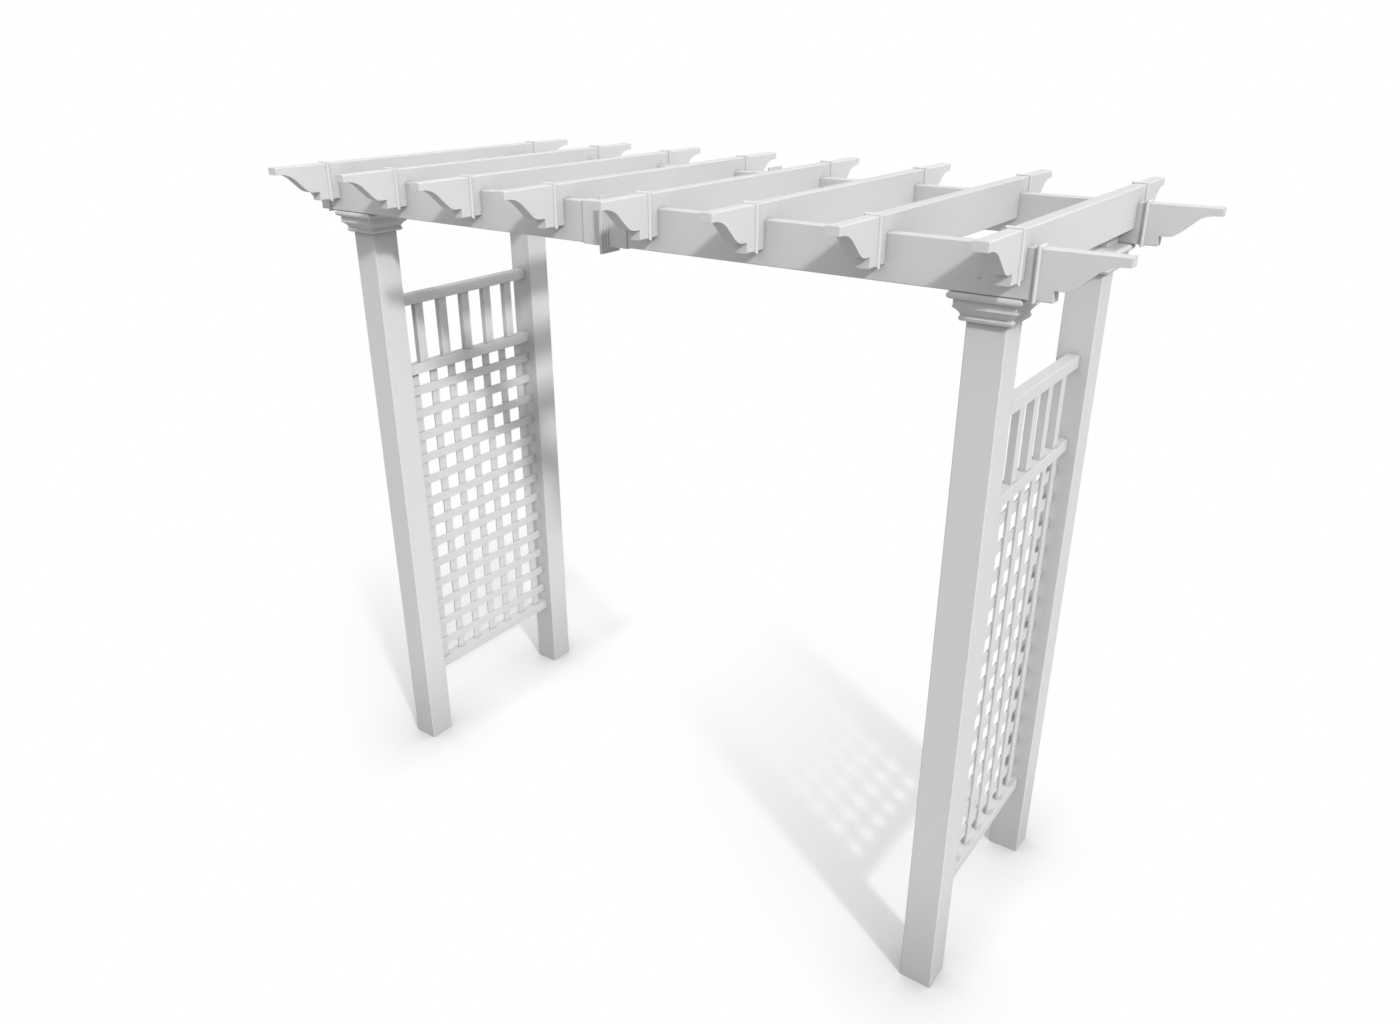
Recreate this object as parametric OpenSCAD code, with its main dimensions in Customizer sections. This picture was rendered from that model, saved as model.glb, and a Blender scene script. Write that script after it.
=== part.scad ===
// Free-standing garden arbor of hollow vinyl sections. Four square posts carry
// moulded capitals, two beams spliced at mid-span and eight notched rafters with
// ogee end caps. A rail, baluster and lattice panel closes each side.
// X runs along the beams, Y from front to back, Z up. The origin is the centre of
// the whole footprint at ground level. All sizes are in millimetres.

/* [Posts] */
// Distance between the left and right post centres
post_span = 2257.6; // [1500:0.1:2800]
// Distance between the front and back post centres
post_depth = 751; // [700:0.5:1000]
// Width of a square post
post_w = 101.6; // [90:0.1:110]
// Wall thickness of a post
post_wall = 3.8; // [2.8:0.1:5]
// Radius of the long corners of a post
post_r = 3; // [1:0.1:6]
// Height of the capital tops, where the beams rest
seat_z = 2162.5; // [2040:0.5:2400]
// Height of a post above its capital
stub = 97; // [90:0.5:105]

/* [Beams and rafters] */
// Height of a beam or rafter
board_h = 117.5; // [110:0.5:130]
// Thickness of a beam or rafter
board_t = 37; // [34:0.5:42]
// Wall and web thickness of a beam or rafter
board_wall = 2.2; // [1.8:0.1:2.6]
// Radius of the long edges of a board and of its end caps
board_r = 3.2; // [1:0.1:4]
// Distance from a post centre to the beam tip beyond it
beam_out = 314; // [305:1:420]
// Distance from a post centre to the rafter tip beyond it
rafter_out = 324; // [310:1:400]
// Depth of the rafter notches, measured up from the underside
notch_depth = 75.4; // [60:0.2:85]
// Length of the aluminium tube inside each beam splice
splice_len = 600; // [300:5:900]

/* [End caps] */
// Height of the blunt tip of a tail
tip_h = 22.5; // [18:0.5:30]
// Length of the flat underside behind the tip
tip_flat = 15; // [8:0.5:24]
// Radius of the hollow part of the tail curve
hollow_r = 80; // [70:1:86]
// Radius of the swelling part of the tail curve
swell_r = 52; // [44:1:55]
// Distance from the tip to the end of the tail curve
curve_end = 139; // [136:0.5:150]
// Distance from the tip to the step up to full height
step_x = 155.8; // [152:0.2:160]
// Height of that step
step_h = 28.2; // [24:0.2:32]
// Distance from the tip to the middle of the half-round collar
collar_x = 199; // [192:0.5:206]
// Width of the collar
collar_w = 12; // [10:0.5:16]
// Height of the collar above the board face
collar_h = 5.5; // [4.5:0.25:6.5]

/* [Capitals] */
// Height of a capital
cap_h = 72.5; // [70:0.5:80]
// Reach of the top roll beyond the post face
roll_out = 40; // [38:0.5:44]
// Radius of the top roll
roll_r = 9.75; // [8:0.25:10]
// Reach of the middle ledge beyond the post face
ledge_out = 28; // [26.5:0.1:29.5]
// Reach of the foot ring beyond the post face
ring_out = 15.4; // [13.5:0.1:17]

/* [Beam couplings] */
// Reach of the coupling flange beyond the board face
flange_out = 22; // [18:0.5:26]
// Thickness of the flange plate
flange_t = 3.5; // [3:0.1:5]
// Length of each socket from the middle of the beam
socket_len = 80; // [50:1:110]
// Wall thickness of the socket
socket_wall = 2.5; // [2:0.1:3]

/* [Side panels] */
// Height of the middle of the top rail
top_rail_z = 1829; // [1760:1:1900]
// Height of the middle of the rail between balusters and lattice
mid_rail_z = 1566; // [1480:1:1620]
// Height of the middle of the bottom rail
low_rail_z = 295; // [180:1:420]
// Side of a square rail
rail_w = 38; // [36:0.5:44]
// Wall thickness of rails and balusters
rail_wall = 2; // [1.6:0.1:2.4]
// Number of balusters in a panel
baluster_n = 5; // [2:1:7]
// Thickness of a baluster, through the panel
baluster_t = 22; // [18:0.5:26]
// Width of a baluster, along the panel
baluster_w = 38; // [24:0.5:44]
// Distance between lattice strip centres
lattice_gap = 91.4; // [76:0.1:110]
// Width of a lattice strip
strip_w = 34.5; // [28:0.5:40]
// Thickness of a lattice strip
strip_t = 6; // [4:0.25:7]

/* [Hidden] */
$fn = 64;

// Clearance between parts that sit against or inside each other
fit = 0.3;
// Seat gap behind a screw head
head_seat = 0.15;
// Reach of rails into the posts and of balusters and lattice into the rails
rail_in = 16;
strip_in = 12;

rafter_n = 8;
post_in = post_w - 2 * post_wall;
post_top = seat_z + stub;
plug_t = 3;
plug_skirt = 16;
// Beams lie against the outer faces of the posts, end rafters against their sides
beam_y = post_depth / 2 + post_w / 2 + fit + board_t / 2;
beam_top = seat_z + board_h;
beam_tip = post_span / 2 + beam_out;
rafter_end_x = post_span / 2 + post_w / 2 + fit + board_t / 2;
rafter_gap = 2 * rafter_end_x / (rafter_n - 1);
rafter_tip = post_depth / 2 + rafter_out;
// The notch bears on the beam
rafter_top = beam_top - notch_depth + board_h;

// Two chambers of a board, one above and one below the web
chamber_w = board_t - 2 * board_wall;
chamber_h = (board_h - 3 * board_wall) / 2;
chamber_z = (chamber_h + board_wall) / 2;

// Tail curve: two arcs and a straight that crosses both just inside their rims
tail_wall = 2.4;
rim = 0.03;
drop = board_h - step_h;
hollow_z = rim - tip_h - hollow_r;
swell_z = swell_r - drop - rim;
curve_l = curve_end - tip_flat;
curve_v = hollow_z - swell_z;
curve_r = hollow_r + swell_r - 2 * rim;
curve_s = sqrt(curve_l * curve_l + curve_v * curve_v - curve_r * curve_r);
curve_a = atan2(curve_v, curve_l) + atan2(curve_r, curve_s);
// The board stops inside the collar against a plate
plate_t = 4;
board_stop = collar_x - collar_w / 2 + 3;
board_end = board_stop + fit;
// The legs of a cap fill most of the board up to the rafter notch
notch_x = rafter_out - post_w / 2 - fit - board_t;
leg_len = 0.8 * (notch_x - board_stop);
// Half-round bead on a low flat land
collar_r = collar_w / 2 - 0.6;
land = 1;

panel_w = post_depth - post_w;
// Equal gaps between posts and balusters
baluster_gap = (panel_w + baluster_w) / (baluster_n + 1);
lattice_h = mid_rail_z - low_rail_z - rail_w;
upright_n = floor(panel_w / lattice_gap);
cross_n = floor(lattice_h / lattice_gap);
// Plane where the lattice uprights meet the crossbars, towards the passage
lattice_x = 2;

// Capital: reach beyond the post face and height of the neck and of the ledge
neck_out = 11.3;
neck_z = 13.5;
ledge_z = 33;
ledge_r = 5.5;
band_out = ledge_out - 1.3;
capital_wall = 4.3;
// The cove is an arc from the neck to the lip of the ledge
cove_r = 40;
cove_run = [ledge_out - neck_out, ledge_z - neck_z];
cove_in = sqrt(pow(cove_r / norm(cove_run), 2) - 0.25);
cove_x = (ledge_out + neck_out) / 2 + cove_in * cove_run[1];
cove_z = (ledge_z + neck_z) / 2 - cove_in * cove_run[0];

screw_r = 2.25;
head_r = 4;
beam_screw_x = post_span / 2 - 0.16 * post_w;
beam_screw_z = seat_z + board_h / 3;
rafter_screw_y = post_depth / 2 - 0.15 * post_w;
rafter_screw_z = post_top - plug_skirt - head_r;
screw_len = board_t + fit + post_wall + 9;

// Rectangle with round corners
module round_rect(w, h, r) {
    square([w, h - 2 * r], center = true);
    square([w - 2 * r, h], center = true);
    for (x = [-1, 1], y = [-1, 1])
        translate([x * (w / 2 - r), y * (h / 2 - r)]) circle(r = r);
}

// Square or oblong tube section
module tube(w, h, wall, r) {
    difference() {
        round_rect(w, h, r);
        square([w - 2 * wall, h - 2 * wall], center = true);
    }
}

// Section drawn across the run, extruded along X
module along_x(length) {
    rotate([90, 0, 90]) linear_extrude(height = length, center = true) children();
}

// Section drawn across the run, extruded along Y
module along_y(length) {
    rotate([90, 0, 0]) linear_extrude(height = length, center = true) children();
}

module board_section() {
    difference() {
        round_rect(board_t, board_h, board_r);
        for (s = [-1, 1])
            translate([0, s * chamber_z]) square([chamber_w, chamber_h], center = true);
    }
}

// Post: square tube with routed holes for three rails and pilot holes for screws
module post(sx, sy) {
    color("white")
    translate([sx * post_span / 2, sy * post_depth / 2, 0])
    difference() {
        linear_extrude(height = post_top) tube(post_w, post_w, post_wall, post_r);
        for (z = [top_rail_z, mid_rail_z, low_rail_z])
            translate([0, -sy * post_w / 2, z])
                cube([rail_w + 2 * fit, 3 * post_wall, rail_w + 2 * fit], center = true);
        translate([sx * (beam_screw_x - post_span / 2), sy * post_w / 2, beam_screw_z])
            rotate([90, 0, 0]) cylinder(r = screw_r + 0.2, h = 3 * post_wall, center = true);
        translate([sx * post_w / 2, sy * (rafter_screw_y - post_depth / 2), rafter_screw_z])
            rotate([0, 90, 0]) cylinder(r = screw_r + 0.2, h = 3 * post_wall, center = true);
    }
}

// Flat inner cover that closes the top of each post
module post_plugs() {
    color("white")
    for (sx = [-1, 1], sy = [-1, 1])
        translate([sx * post_span / 2, sy * post_depth / 2, post_top + fit]) {
            linear_extrude(height = plug_t) round_rect(post_w, post_w, post_r);
            translate([0, 0, -plug_skirt]) linear_extrude(height = plug_skirt + plug_t / 2)
                difference() {
                    square(post_in - 2 * fit, center = true);
                    square(post_in - 2 * fit - 5, center = true);
                }
        }
}

// Silhouette of a capital: foot ring, cove, ledge with a rounded upper edge, band
// and half-round roll
module capital_outline() {
    h = post_w / 2;
    foot_x = h + ring_out - 3.4;
    ring_x = h + neck_out + 0.5;
    polygon([
        [-foot_x, 0], [foot_x, 0], [h + ring_out, 7.2], [ring_x, neck_z + 0.1],
        [-ring_x, neck_z + 0.1], [-h - ring_out, 7.2]
    ]);
    difference() {
        union() {
            translate([-h - band_out, 5]) square([2 * (h + band_out), cap_h - roll_r - 5]);
            for (s = [-1, 1])
                translate([s * (h + ledge_out - ledge_r), ledge_z + 0.5]) circle(r = ledge_r);
        }
        for (s = [-1, 1])
            translate([s * (h + cove_x), cove_z]) circle(r = cove_r);
    }
    translate([0, cap_h - roll_r]) square([2 * (h + roll_out - roll_r), 2 * roll_r], center = true);
    for (s = [-1, 1])
        translate([s * (h + roll_out - roll_r), cap_h - roll_r]) circle(r = roll_r);
}

// The same silhouette seen from both sides gives mitred mouldings round the post
module capital_solid() {
    reach = post_w + 2 * roll_out;
    intersection() {
        along_y(reach) capital_outline();
        along_x(reach) capital_outline();
    }
}

// Capital: hollow moulding open below, with a top plate and ribs against the post
module capital(sx, sy) {
    hole = post_w + 2 * fit;
    color("white")
    translate([sx * post_span / 2, sy * post_depth / 2, seat_z - cap_h])
    difference() {
        union() {
            difference() {
                capital_solid();
                intersection() {
                    along_y(4 * post_w) capital_cavity();
                    along_x(4 * post_w) capital_cavity();
                }
            }
            intersection() {
                capital_solid();
                for (s = [-1, 1]) {
                    translate([s * post_w / 4, 0, cap_h / 2]) cube([3, 2 * post_w, cap_h - 1], center = true);
                    translate([0, s * post_w / 4, cap_h / 2]) cube([2 * post_w, 3, cap_h - 1], center = true);
                }
            }
        }
        translate([0, 0, cap_h / 2]) cube([hole, hole, 2 * cap_h], center = true);
    }
}

// Room inside a capital, drawn as one wall thickness behind its outline
module capital_cavity() {
    x0 = post_w / 2 + neck_out - capital_wall;
    x1 = post_w / 2 + band_out - capital_wall;
    polygon([
        [-x0, -1], [x0, -1], [x0, neck_z + 2.5],
        [x1, ledge_z + 4], [x1, cap_h - capital_wall],
        [-x1, cap_h - capital_wall], [-x1, ledge_z + 4], [-x0, neck_z + 2.5]
    ]);
}

// Half of a beam, from the coupling at mid-span to the end cap
module beam(sx, sy) {
    x0 = flange_t + fit;
    x1 = beam_tip - board_end;
    color("white")
    difference() {
        translate([sx * (x0 + x1) / 2, sy * beam_y, beam_top - board_h / 2])
            along_x(x1 - x0) board_section();
        translate([sx * beam_screw_x, sy * beam_y, beam_screw_z])
            rotate([90, 0, 0]) cylinder(r = screw_r + 0.2, h = 2 * board_t, center = true);
    }
}

// Side view of a tail with its tip at the origin and its top along X, inset by k
// or drawn taller by over
module tail_outline(k, over) {
    hr = hollow_r + k;
    sr = swell_r - k;
    full = board_stop;
    intersection() {
        translate([k, k - board_h - over]) square([full - k, board_h - 2 * k + 2 * over]);
        union() {
            difference() {
                polygon([
                    [0, over], [full, over], [full, -board_h - over], [step_x + k, -board_h - over],
                    [step_x + k, k - drop], [curve_end, k - drop],
                    [curve_end - (sr - rim) * sin(curve_a), swell_z - (sr - rim) * cos(curve_a)],
                    [tip_flat + (hr - rim) * sin(curve_a), hollow_z + (hr - rim) * cos(curve_a)],
                    [tip_flat, k - tip_h], [0, k - tip_h]
                ]);
                translate([tip_flat, hollow_z]) circle(r = hr);
            }
            translate([curve_end, swell_z]) circle(r = sr);
        }
    }
}

// Strip with a half-round bead at both ends, for the two views of a collar
module collar_band(h) {
    square([collar_w, h + 2 * land], center = true);
    for (s = [-1, 1])
        translate([0, s * (h / 2 + collar_h - collar_r)]) circle(r = collar_r);
}

// End cap: hollow ogee tail, half-round collar over the board end, two hollow legs
module end_cap() {
    color("white")
    difference() {
        union() {
            difference() {
                union() {
                    intersection() {
                        along_y(2 * board_t) tail_outline(0, 1);
                        translate([board_stop / 2, 0, -board_h / 2])
                            along_x(board_stop + 2) round_rect(board_t, board_h, board_r);
                    }
                    translate([collar_x, 0, -board_h / 2]) intersection() {
                        along_y(2 * board_t) collar_band(board_h);
                        linear_extrude(height = 2 * board_h, center = true) collar_band(board_t);
                    }
                }
                along_y(board_t - 2 * tail_wall) intersection() {
                    tail_outline(tail_wall, 0);
                    translate([0, -board_h]) square([board_stop - plate_t, board_h]);
                }
                translate([board_stop, -board_t / 2 - fit, -board_h - fit])
                    cube([collar_w, board_t + 2 * fit, board_h + 2 * fit]);
            }
            legs(board_stop - 1, board_stop + leg_len, fit);
        }
        legs(board_stop - 2 * plate_t, board_stop + leg_len + 1, 2.2);
    }
}

// Pair of blocks that fill the two chambers of a board, inset all round
module legs(x0, x1, inset) {
    for (s = [-1, 1])
        translate([(x0 + x1) / 2, 0, s * chamber_z - board_h / 2])
            cube([x1 - x0, chamber_w - 2 * inset, chamber_h - 2 * inset], center = true);
}

module beam_cap(sx, sy) {
    translate([sx * beam_tip, sy * beam_y, beam_top])
        rotate([0, 0, sx > 0 ? 180 : 0]) end_cap();
}

module rafter_cap(i, sy) {
    translate([rafter_x(i), sy * rafter_tip, rafter_top])
        rotate([0, 0, -90 * sy]) end_cap();
}

function rafter_x(i) = -rafter_end_x + (i - 1) * rafter_gap;

// Rafter: board along Y, notched over both beams; the outer ones are screwed to the posts
module rafter(i) {
    outer = i == 1 || i == rafter_n;
    color("white")
    translate([rafter_x(i), 0, 0])
    difference() {
        translate([0, 0, rafter_top - board_h / 2])
            rotate([0, 0, 90]) along_x(2 * (rafter_tip - board_end)) board_section();
        for (s = [-1, 1])
            translate([0, s * beam_y, beam_top + fit / 2 - board_h / 2])
                cube([2 * board_t, board_t + 2 * fit, board_h], center = true);
        if (outer)
            for (s = [-1, 1])
                translate([0, s * rafter_screw_y, rafter_screw_z])
                    rotate([0, 90, 0]) cylinder(r = screw_r + 0.2, h = 2 * board_t, center = true);
    }
}

// Socket that holds a beam half: stepped flange at mid-span and a thin sleeve
module coupling(sx, sy) {
    mid = beam_top - board_h / 2;
    color("white")
    translate([0, sy * beam_y, mid])
    difference() {
        union() {
            coupling_step(sx, fit / 2, flange_t, flange_out, 2);
            coupling_step(sx, flange_t - 1, flange_t + 5, 0.6 * flange_out, 2);
            coupling_step(sx, flange_t + 4, flange_t + 11.5, 0.32 * flange_out, 2);
            coupling_step(sx, flange_t + 10, socket_len, socket_wall, 2);
        }
        translate([sx * (flange_t + socket_len) / 2, 0, 0])
            cube([socket_len - flange_t + 0.01, board_t + 2 * fit, board_h + 2 * fit], center = true);
        translate([0, 0, -chamber_z])
            cube([4 * flange_t, chamber_w - fit, chamber_h - fit], center = true);
    }
}

module coupling_step(sx, x0, x1, out, r) {
    translate([sx * (x0 + x1) / 2, 0, 0])
        along_x(x1 - x0) round_rect(board_t + 2 * out, board_h + 2 * out, r);
}

// Aluminium tube in the lower chambers, through both coupling plates
module splice(sy) {
    color("silver")
    translate([0, sy * beam_y, beam_top - board_h / 2 - chamber_z])
        along_x(splice_len) tube(chamber_w - 3 * fit, chamber_h - 3 * fit, 2, 1.5);
}

// Pan-head screw with a cross recess, head at the origin and shank along +Z
module screw() {
    color("gainsboro")
    difference() {
        union() {
            rotate_extrude() intersection() {
                translate([0, 3]) circle(r = 5.4);
                translate([0, -3]) square([head_r, 3]);
            }
            cylinder(r = screw_r, h = screw_len - 5);
            translate([0, 0, screw_len - 5]) cylinder(r1 = screw_r, r2 = 0.4, h = 5);
        }
        for (a = [0, 90])
            rotate([0, 0, a]) translate([0, 0, -2.4]) cube([4.4, 0.9, 2.2], center = true);
    }
}

// One screw through each beam into the post behind it
module beam_screws() {
    for (sx = [-1, 1], sy = [-1, 1])
        translate([sx * beam_screw_x, sy * (beam_y + board_t / 2 + head_seat), beam_screw_z])
            rotate([90 * sy, 0, 0]) screw();
}

// Screws through the outer rafters into the post stubs
module rafter_screws() {
    for (sx = [-1, 1], sy = [-1, 1])
        translate([sx * (rafter_end_x + board_t / 2 + head_seat), sy * rafter_screw_y, rafter_screw_z])
            rotate([0, -90 * sx, 0]) screw();
}

// Rail: square tube along Y with mortises for what it holds above and below
module rail(z, sx, holds_balusters, holds_lattice) {
    length = panel_w + 2 * rail_in;
    color("white")
    translate([sx * post_span / 2, 0, z])
    difference() {
        along_y(length) tube(rail_w, rail_w, rail_wall, 1.5);
        if (holds_balusters != 0)
            for (i = [0 : baluster_n - 1])
                translate([0, baluster_y(i), holds_balusters * rail_w / 2])
                    cube([baluster_t + 2 * fit, baluster_w + 2 * fit, 3 * rail_wall], center = true);
        if (holds_lattice != 0)
            for (i = [0 : upright_n - 1])
                translate([-sx * (lattice_x - strip_t / 2), upright_y(i), holds_lattice * rail_w / 2])
                    cube([strip_t + 2 * fit, strip_w + 2 * fit, 3 * rail_wall], center = true);
    }
}

function baluster_y(i) = (i - (baluster_n - 1) / 2) * baluster_gap;

// Balusters: oblong tubes plugged into the top and middle rails
module balusters(sx) {
    length = top_rail_z - mid_rail_z - rail_w + 2 * strip_in;
    color("white")
    for (i = [0 : baluster_n - 1])
        translate([sx * post_span / 2, baluster_y(i), (top_rail_z + mid_rail_z) / 2])
            linear_extrude(height = length, center = true)
                tube(baluster_t, baluster_w, 0.8 * rail_wall, 1.5);
}

function upright_y(i) = (i - (upright_n - 1) / 2) * lattice_gap;

// Lattice: uprights on the outer side welded to crossbars on the passage side
module lattice(sx) {
    z_mid = (mid_rail_z + low_rail_z) / 2;
    color("white")
    translate([sx * (post_span / 2 - lattice_x), 0, z_mid]) {
        for (i = [0 : upright_n - 1])
            translate([sx * strip_t / 2, upright_y(i), 0])
                cube([strip_t, strip_w, lattice_h + 2 * strip_in], center = true);
        for (i = [0 : cross_n - 1])
            translate([-sx * strip_t / 2, 0, (i - (cross_n - 1) / 2) * lattice_gap])
                cube([strip_t, panel_w - 2 * fit, strip_w], center = true);
    }
}

post(-1, -1);  // post_front_left
post(1, -1);  // post_front_right
post(-1, 1);  // post_back_left
post(1, 1);  // post_back_right
capital(-1, -1);  // capital_front_left
capital(1, -1);  // capital_front_right
capital(-1, 1);  // capital_back_left
capital(1, 1);  // capital_back_right
post_plugs();
beam(-1, -1);  // beam_front_left
beam(1, -1);  // beam_front_right
beam(-1, 1);  // beam_back_left
beam(1, 1);  // beam_back_right
beam_cap(-1, -1);  // beam_cap_front_left
beam_cap(1, -1);  // beam_cap_front_right
beam_cap(-1, 1);  // beam_cap_back_left
beam_cap(1, 1);  // beam_cap_back_right
coupling(-1, -1);  // coupling_front_left
coupling(1, -1);  // coupling_front_right
coupling(-1, 1);  // coupling_back_left
coupling(1, 1);  // coupling_back_right
splice(-1);  // splice_front
splice(1);  // splice_back
beam_screws();
rafter(1);  // rafter_1
rafter(2);  // rafter_2
rafter(3);  // rafter_3
rafter(4);  // rafter_4
rafter(5);  // rafter_5
rafter(6);  // rafter_6
rafter(7);  // rafter_7
rafter(8);  // rafter_8
rafter_cap(1, -1);  // rafter_cap_front_1
rafter_cap(2, -1);  // rafter_cap_front_2
rafter_cap(3, -1);  // rafter_cap_front_3
rafter_cap(4, -1);  // rafter_cap_front_4
rafter_cap(5, -1);  // rafter_cap_front_5
rafter_cap(6, -1);  // rafter_cap_front_6
rafter_cap(7, -1);  // rafter_cap_front_7
rafter_cap(8, -1);  // rafter_cap_front_8
rafter_cap(1, 1);  // rafter_cap_back_1
rafter_cap(2, 1);  // rafter_cap_back_2
rafter_cap(3, 1);  // rafter_cap_back_3
rafter_cap(4, 1);  // rafter_cap_back_4
rafter_cap(5, 1);  // rafter_cap_back_5
rafter_cap(6, 1);  // rafter_cap_back_6
rafter_cap(7, 1);  // rafter_cap_back_7
rafter_cap(8, 1);  // rafter_cap_back_8
rafter_screws();
rail(top_rail_z, -1, -1, 0);  // top_rail_left
rail(mid_rail_z, -1, 1, -1);  // mid_rail_left
rail(low_rail_z, -1, 0, 1);  // low_rail_left
balusters(-1);  // balusters_left
lattice(-1);  // lattice_left
rail(top_rail_z, 1, -1, 0);  // top_rail_right
rail(mid_rail_z, 1, 1, -1);  // mid_rail_right
rail(low_rail_z, 1, 0, 1);  // low_rail_right
balusters(1);  // balusters_right
lattice(1);  // lattice_right
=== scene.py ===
"""Looks of a free-standing garden arbor in white vinyl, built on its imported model."""
import math

import bpy
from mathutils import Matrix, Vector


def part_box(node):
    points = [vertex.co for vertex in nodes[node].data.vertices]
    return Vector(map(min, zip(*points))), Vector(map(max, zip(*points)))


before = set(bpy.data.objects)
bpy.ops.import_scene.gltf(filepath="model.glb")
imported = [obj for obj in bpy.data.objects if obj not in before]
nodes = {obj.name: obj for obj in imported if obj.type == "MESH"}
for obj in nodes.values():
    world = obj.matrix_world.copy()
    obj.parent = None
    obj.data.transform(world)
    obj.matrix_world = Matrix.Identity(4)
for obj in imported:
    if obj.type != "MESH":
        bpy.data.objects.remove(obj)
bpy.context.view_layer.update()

# Posts: four square tubes of rigid PVC, extruded in one length and cut square at
# the foot. The die leaves faint straight lines along the run and the calibrator a
# satin skin, a little uneven in gloss. The long corners are rounded in the die.
mm = 0.001
pvc_ior = 1.54


def linear(hex_colour):
    """sRGB hex colour as linear RGBA."""
    parts = [int(hex_colour[i:i + 2], 16) / 255 for i in (1, 3, 5)]
    return [c / 12.92 if c <= 0.04045 else ((c + 0.055) / 1.055) ** 2.4 for c in parts] + [1.0]


def put(tree, kind, sockets=None, **settings):
    """Adds a shader node, sets its properties, and fills its sockets with values or links."""
    added = tree.nodes.new(kind)
    for name, value in settings.items():
        setattr(added, name, value)
    for name, value in (sockets or {}).items():
        if isinstance(value, bpy.types.NodeSocket):
            tree.links.new(value, added.inputs[name])
        else:
            added.inputs[name].default_value = value
    return added


def bare_material(name):
    """A material without nodes, and its node tree."""
    material = bpy.data.materials.new(name)
    material.use_nodes = True
    material.node_tree.nodes.clear()
    return material, material.node_tree


def painted_crease_shade(tree, colour, seam_shade, corner_shade):
    """Paints shade into a colour: darkens it to these shares in tight seams and deep corners."""
    seam_reach, corner_reach = 12 * mm, 450 * mm
    seam = put(tree, "ShaderNodeAmbientOcclusion", {"Distance": seam_reach}, samples=4)
    seam = put(tree, "ShaderNodeMapRange", {"Value": seam.outputs["AO"], "To Min": seam_shade,
                                            "From Min": 0.3, "From Max": 0.8})
    corner = put(tree, "ShaderNodeAmbientOcclusion", {"Distance": corner_reach}, samples=4)
    corner = put(tree, "ShaderNodeMapRange", {"Value": corner.outputs["AO"], "To Min": corner_shade,
                                              "From Min": 0.2, "From Max": 1.0})
    shade_factor = put(tree, "ShaderNodeMath", {0: seam.outputs["Result"], 1: corner.outputs["Result"]},
                operation="MULTIPLY")
    return put(tree, "ShaderNodeMix", {"Factor": shade_factor.outputs[0], "A": linear("#000000"),
                                       "B": colour}, data_type="RGBA").outputs["Result"]


def extruded_vinyl(use, run, seam_shade=0.72):
    """Rigid white PVC drawn through a die along the axis run (0, 1 or 2)."""
    material, tree = bare_material("extruded_white_pvc_" + use)
    place = put(tree, "ShaderNodeTexCoord").outputs["Object"]
    # Die lines across the run. Real ones are finer; these are as coarse as the view needs.
    line_gap, line_length, line_depth = 2.5 * mm, 900 * mm, 0.2 * mm
    stretch = put(tree, "ShaderNodeMapping", {
        "Vector": place,
        "Scale": [1 / line_length if axis == run else 1 / line_gap for axis in range(3)]})
    lines = put(tree, "ShaderNodeTexNoise", {"Vector": stretch.outputs["Vector"], "Scale": 1.0,
                                             "Detail": 2.0, "Roughness": 0.55})
    # Cooling leaves the faces very slightly wavy
    wave_width, wave_length, wave_depth = 140 * mm, 420 * mm, 0.6 * mm
    stretch = put(tree, "ShaderNodeMapping", {
        "Vector": place,
        "Scale": [1 / wave_length if axis == run else 1 / wave_width for axis in range(3)]})
    wave = put(tree, "ShaderNodeTexNoise", {"Vector": stretch.outputs["Vector"], "Scale": 1.0,
                                            "Detail": 1.0}).outputs["Fac"]
    # Satin skin, with a gloss that drifts
    patch_width = 30 * mm
    skin = put(tree, "ShaderNodeTexNoise", {"Vector": place, "Scale": 1 / patch_width,
                                            "Detail": 3.0})
    gloss = put(tree, "ShaderNodeMapRange", {"Value": skin.outputs["Fac"], "From Min": 0.3,
                                             "From Max": 0.7, "To Min": 0.40, "To Max": 0.50})
    tone = put(tree, "ShaderNodeMix", {"Factor": wave, "A": linear("#e6e6e6"),
                                       "B": linear("#eaeaea")}, data_type="RGBA")
    # Painted shade: the colour darkens in tight seams and deep corners
    tone = painted_crease_shade(tree, tone.outputs["Result"], seam_shade, 0.55)
    relief = put(tree, "ShaderNodeBump", {"Height": lines.outputs["Fac"], "Strength": 0.10,
                                          "Distance": line_depth})
    relief = put(tree, "ShaderNodeBump", {"Height": wave, "Strength": 0.25,
                                          "Distance": wave_depth,
                                          "Normal": relief.outputs["Normal"]})
    surface = put(tree, "ShaderNodeBsdfPrincipled",
                  {"Base Color": tone, "Roughness": gloss.outputs["Result"],
                   "Normal": relief.outputs["Normal"], "IOR": pvc_ior})
    put(tree, "ShaderNodeOutputMaterial", {"Surface": surface.outputs["BSDF"]})
    return material


def finish_node(name, material):
    """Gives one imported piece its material."""
    for slot in nodes[name].material_slots:
        slot.material = material


corners = [depth + "_" + side for depth in ("front", "back") for side in ("left", "right")]
post_vinyl = extruded_vinyl("post", 2)
for corner in corners:
    finish_node("post_" + corner, post_vinyl)

# Capitals, post plugs, couplings and end caps: injection-moulded PVC, glued on.
# Moulding gives an even satin with a very fine spark-eroded grain and edges that
# are slightly soft, and no lines along any run.
grain_size, grain_depth = 0.8 * mm, 0.1 * mm
flow_width = 60 * mm
edge_radius = 1.2 * mm
moulded_vinyl, tree = bare_material("moulded_white_pvc")
place = put(tree, "ShaderNodeTexCoord").outputs["Object"]
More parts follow.
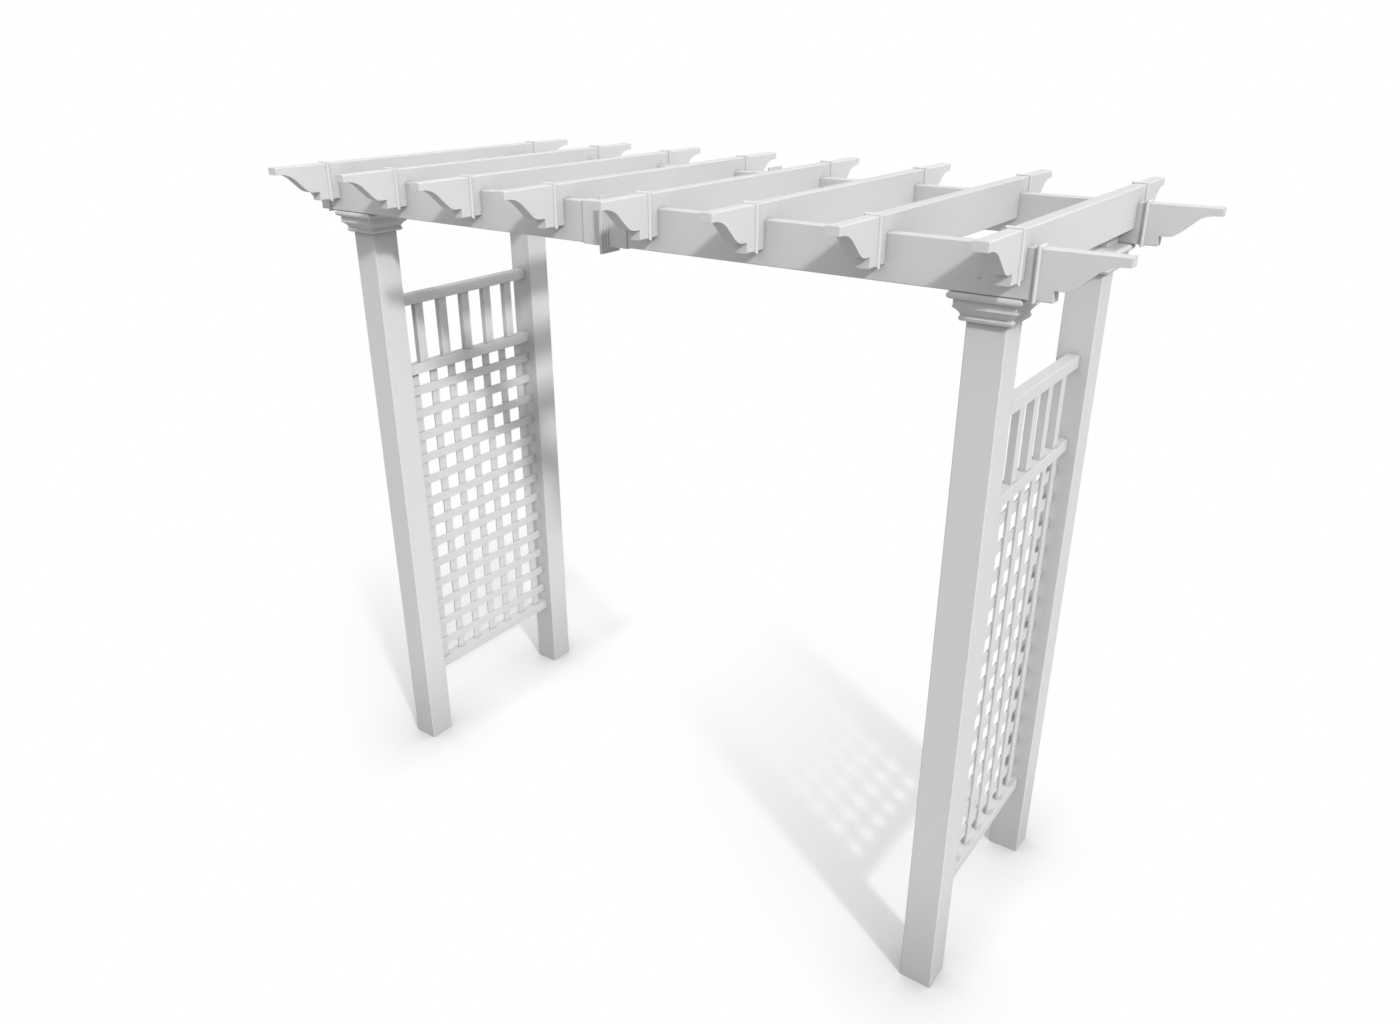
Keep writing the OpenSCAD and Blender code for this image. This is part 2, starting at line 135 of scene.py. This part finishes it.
# The grain is drawn coarser than the real one, so that it shows
grain = put(tree, "ShaderNodeTexNoise", {"Vector": place, "Scale": 1 / grain_size, "Detail": 2.0})
flow = put(tree, "ShaderNodeTexNoise", {"Vector": place, "Scale": 1 / flow_width,
                                        "Detail": 2.0}).outputs["Fac"]
gloss = put(tree, "ShaderNodeMapRange", {"Value": flow, "From Min": 0.3, "From Max": 0.7,
                                         "To Min": 0.44, "To Max": 0.54})
tone = put(tree, "ShaderNodeMix", {"Factor": flow, "A": linear("#e7e7e7"),
                                   "B": linear("#ebebeb")}, data_type="RGBA")
# Painted shade: the colour darkens in tight seams and deep corners
tone = painted_crease_shade(tree, tone.outputs["Result"], 0.72, 0.68)
soft_edge = put(tree, "ShaderNodeBevel", {"Radius": edge_radius}, samples=4)
relief = put(tree, "ShaderNodeBump", {"Height": grain.outputs["Fac"], "Strength": 0.15,
                                      "Distance": grain_depth,
                                      "Normal": soft_edge.outputs["Normal"]})
surface = put(tree, "ShaderNodeBsdfPrincipled",
              {"Base Color": tone, "Roughness": gloss.outputs["Result"],
               "Normal": relief.outputs["Normal"], "IOR": pvc_ior})
put(tree, "ShaderNodeOutputMaterial", {"Surface": surface.outputs["BSDF"]})

for corner in corners:
    finish_node("capital_" + corner, moulded_vinyl)
    finish_node("beam_cap_" + corner, moulded_vinyl)
    finish_node("coupling_" + corner, moulded_vinyl)
finish_node("post_plugs", moulded_vinyl)

# Beams and rafters: hollow PVC boards with a web, the same skin as the posts but
# drawn along their own run. The rafters are notched over the beams, and each end
# wears a moulded cap.
beam_vinyl = extruded_vinyl("beam", 0)
rafter_vinyl = extruded_vinyl("rafter", 1)
for corner in corners:
    finish_node("beam_" + corner, beam_vinyl)
for number in range(1, 9):
    finish_node("rafter_%d" % number, rafter_vinyl)
    for depth in ("front", "back"):
        finish_node("rafter_cap_%s_%d" % (depth, number), moulded_vinyl)

# Side panels: square rails and oblong balusters, plugged into each other, and a
# lattice of thin flat strips welded where they cross. These thin pieces get only a
# trace of the painted shade in their seams.
faint_seam_shade = 0.97
rail_vinyl = extruded_vinyl("rail", 1, faint_seam_shade)
strip_vinyl = extruded_vinyl("strip", 2, faint_seam_shade)
for side in ("left", "right"):
    for rail in ("top_rail_", "mid_rail_", "low_rail_"):
        finish_node(rail + side, rail_vinyl)
    finish_node("balusters_" + side, strip_vinyl)
    finish_node("lattice_" + side, strip_vinyl)

# Screws: steel pan heads with a cross recess, under a baked white coating with a
# fine peel. The coating is thin in the recess, where grey shows through.
peel_size, peel_depth = 0.7 * mm, 0.05 * mm
patch_width = 3 * mm
recess_reach = 1.5 * mm
coated_steel, tree = bare_material("white_coated_steel")
place = put(tree, "ShaderNodeTexCoord").outputs["Object"]
peel = put(tree, "ShaderNodeTexNoise", {"Vector": place, "Scale": 1 / peel_size, "Detail": 2.0})
patch = put(tree, "ShaderNodeTexNoise", {"Vector": place, "Scale": 1 / patch_width,
                                         "Detail": 2.0}).outputs["Fac"]
recess = put(tree, "ShaderNodeAmbientOcclusion", {"Distance": recess_reach}, samples=4)
recess = put(tree, "ShaderNodeMapRange", {"Value": recess.outputs["AO"], "From Min": 0.2,
                                          "From Max": 0.7})
tone = put(tree, "ShaderNodeMix", {"Factor": patch, "A": linear("#dcdcdb"),
                                   "B": linear("#e4e4e3")}, data_type="RGBA")
tone = put(tree, "ShaderNodeMix", {"Factor": recess.outputs["Result"], "A": linear("#a9a9a8"),
                                   "B": tone.outputs["Result"]}, data_type="RGBA")
gloss = put(tree, "ShaderNodeMapRange", {"Value": patch, "To Min": 0.28, "To Max": 0.40})
relief = put(tree, "ShaderNodeBump", {"Height": peel.outputs["Fac"], "Strength": 0.2,
                                      "Distance": peel_depth})
surface = put(tree, "ShaderNodeBsdfPrincipled",
              {"Base Color": tone.outputs["Result"], "Roughness": gloss.outputs["Result"],
               "Normal": relief.outputs["Normal"], "IOR": 1.5})
put(tree, "ShaderNodeOutputMaterial", {"Surface": surface.outputs["BSDF"]})
for name in ("beam_screws", "rafter_screws"):
    finish_node(name, coated_steel)

# Splice tubes inside the beams: plain aluminium, drawn along their length, which
# leaves fine bright lines. They are never seen from outside.
line_gap, line_length, line_depth = 0.5 * mm, 200 * mm, 0.1 * mm
mill_aluminium, tree = bare_material("mill_finish_aluminium")
place = put(tree, "ShaderNodeTexCoord").outputs["Object"]
stretch = put(tree, "ShaderNodeMapping", {"Vector": place,
                                          "Scale": (1 / line_length, 1 / line_gap, 1 / line_gap)})
lines = put(tree, "ShaderNodeTexNoise", {"Vector": stretch.outputs["Vector"], "Scale": 1.0,
                                         "Detail": 2.0}).outputs["Fac"]
gloss = put(tree, "ShaderNodeMapRange", {"Value": lines, "To Min": 0.3, "To Max": 0.45})
relief = put(tree, "ShaderNodeBump", {"Height": lines, "Strength": 0.2, "Distance": line_depth})
surface = put(tree, "ShaderNodeBsdfPrincipled",
              {"Base Color": linear("#d9dadc"), "Metallic": 1.0,
               "Roughness": gloss.outputs["Result"], "Normal": relief.outputs["Normal"]})
put(tree, "ShaderNodeOutputMaterial", {"Surface": surface.outputs["BSDF"]})
for name in ("splice_front", "splice_back"):
    finish_node(name, mill_aluminium)

# Floor: a plain white sweep. It keeps the soft shadows round the post feet and
# beside each lattice panel, and turns to plain white further out.
floor_width = 60
key_turn = 28.3          # degrees in front of +X, where the key light stands
shadow_reach = 1.65      # along X from the panel to where its shadow has faded
kept_half_width = 0.55   # of the shadow that is kept whole
faded_half_width = 0.95  # where its sides have faded
fade_from, fade_to = -0.2, -0.04    # past the panel, where its shade sets in
panel_low, panel_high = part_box("lattice_right")
panel_x = (panel_low[0] + panel_high[0]) / 2

bpy.ops.mesh.primitive_plane_add(size=floor_width)
floor = bpy.context.object
floor.name = "floor"
white_floor, tree = bare_material("white_floor")
spot = put(tree, "ShaderNodeTexCoord").outputs["Object"]
spot = put(tree, "ShaderNodeSeparateXYZ", {"Vector": spot}).outputs
shadows = []
for plane in (-panel_x, panel_x):
    # How far a spot lies past the panel, away from the light
    run = put(tree, "ShaderNodeMath", {0: plane, 1: spot["X"]}, operation="SUBTRACT").outputs[0]
    near = put(tree, "ShaderNodeMapRange", {"Value": run, "From Max": shadow_reach,
                                            "To Min": 1.0, "To Max": 0.0})
    past = put(tree, "ShaderNodeMapRange", {"Value": run, "From Min": fade_from,
                                            "From Max": fade_to}, interpolation_type="SMOOTHSTEP")
    both = put(tree, "ShaderNodeMath", {0: near.outputs["Result"], 1: past.outputs["Result"]},
               operation="MULTIPLY")
    # How far it lies to the side of the shadow's middle, which drifts to the back
    drift = put(tree, "ShaderNodeMath", {0: run, 1: math.tan(math.radians(key_turn))},
                operation="MULTIPLY")
    drift = put(tree, "ShaderNodeMath", {0: drift.outputs[0], 1: 0.0}, operation="MAXIMUM")
    aside = put(tree, "ShaderNodeMath", {0: spot["Y"], 1: drift.outputs[0]}, operation="SUBTRACT")
    aside = put(tree, "ShaderNodeMath", {0: aside.outputs[0]}, operation="ABSOLUTE")
    inside = put(tree, "ShaderNodeMapRange", {"Value": aside.outputs[0],
                                              "From Min": kept_half_width,
                                              "From Max": faded_half_width,
                                              "To Min": 1.0, "To Max": 0.0},
                 interpolation_type="SMOOTHSTEP")
    shadows.append(put(tree, "ShaderNodeMath", {0: both.outputs[0], 1: inside.outputs["Result"]},
                       operation="MULTIPLY").outputs[0])
keep = put(tree, "ShaderNodeMath", {0: shadows[0], 1: shadows[1]}, operation="MAXIMUM")
# Contact shade close to the posts and under the bottom rails
contact_reach = 0.32
contact = put(tree, "ShaderNodeAmbientOcclusion", {"Distance": contact_reach}, samples=8)
halo = put(tree, "ShaderNodeMapRange", {"Value": contact.outputs["AO"], "From Min": 0.3,
                                        "From Max": 0.97, "To Min": 0.56}).outputs["Result"]
# Where shadows are kept, the floor's own light and the lamps add up to white in the open
lamp_share, own_share = 0.66, 0.27
grey = put(tree, "ShaderNodeMath", {0: halo, 1: lamp_share}, operation="MULTIPLY")
lamp_lit = put(tree, "ShaderNodeBsdfDiffuse", {"Color": grey.outputs[0]})
glow = put(tree, "ShaderNodeMath", {0: halo, 1: own_share}, operation="MULTIPLY")
lift = put(tree, "ShaderNodeEmission", {"Color": linear("#ffffff"), "Strength": glow.outputs[0]})
shaded = put(tree, "ShaderNodeAddShader", {0: lamp_lit.outputs["BSDF"],
                                           1: lift.outputs["Emission"]})
white = put(tree, "ShaderNodeEmission", {"Color": linear("#ffffff"), "Strength": halo})
shown = put(tree, "ShaderNodeMixShader", {0: keep.outputs[0], 1: white.outputs["Emission"],
                                          2: shaded.outputs["Shader"]})
# What bounces onto the arbor is a dull grey floor
bounce = put(tree, "ShaderNodeBsdfDiffuse", {"Color": linear("#9e9e9e")})
ray = put(tree, "ShaderNodeLightPath").outputs
mixed = put(tree, "ShaderNodeMixShader", {0: ray["Is Camera Ray"], 1: bounce.outputs["BSDF"],
                                          2: shown.outputs["Shader"]})
put(tree, "ShaderNodeOutputMaterial", {"Surface": mixed.outputs["Shader"]})
floor.data.materials.append(white_floor)

# Studio: a key light from the front right, 35 degrees up, a wide soft light beside
# it, and an even sky that is brighter overhead. The background is plain white.
for name, energy, spread, turn, rise in (("key", 1.79, 4, key_turn, 35), ("soft", 0.5, 22, 26, 36)):
    light = bpy.data.lights.new(name, "SUN")
    light.energy = energy
    light.angle = math.radians(spread)
    lamp = bpy.data.objects.new(name, light)
    bpy.context.scene.collection.objects.link(lamp)
    # The light comes from turn degrees in front of +X and rise degrees above the floor
    lamp.rotation_euler = (math.radians(90 - rise), 0, math.radians(90 - turn))

world = bpy.data.worlds.new("studio")
bpy.context.scene.world = world
world.use_nodes = True
tree = world.node_tree
tree.nodes.clear()
height = put(tree, "ShaderNodeTexCoord").outputs["Generated"]
height = put(tree, "ShaderNodeSeparateXYZ", {"Vector": height}).outputs["Z"]
glow = put(tree, "ShaderNodeMapRange", {"Value": height, "To Min": 0.25, "To Max": 0.87})
sky = put(tree, "ShaderNodeBackground", {"Color": linear("#ffffff"),
                                         "Strength": glow.outputs["Result"]})
plain = put(tree, "ShaderNodeBackground", {"Color": linear("#ffffff"), "Strength": 1.0})
ray = put(tree, "ShaderNodeLightPath").outputs
seen = put(tree, "ShaderNodeMixShader", {0: ray["Is Camera Ray"], 1: sky.outputs["Background"],
                                         2: plain.outputs["Background"]})
put(tree, "ShaderNodeOutputWorld", {"Surface": seen.outputs["Shader"]})
bpy.context.scene.view_settings.view_transform = "Standard"

# Camera: the photograph's viewpoint, from above and to the right of the front,
# with the focal length that was solved in the photograph's own pixels.
photo_width, focal_pixels = 1400, 1063.72
look_down, turn_left = 0.4150, 0.6186    # radians, from level and from straight to the back
view = bpy.data.cameras.new("view")
view.sensor_width = 36
view.sensor_fit = "HORIZONTAL"
view.lens = focal_pixels / photo_width * view.sensor_width
camera = bpy.data.objects.new("view", view)
bpy.context.scene.collection.objects.link(camera)
camera.location = (2.0081, -2.8201, 2.6899)
camera.rotation_euler = (math.pi / 2 - look_down, 0, turn_left)
bpy.context.scene.camera = camera
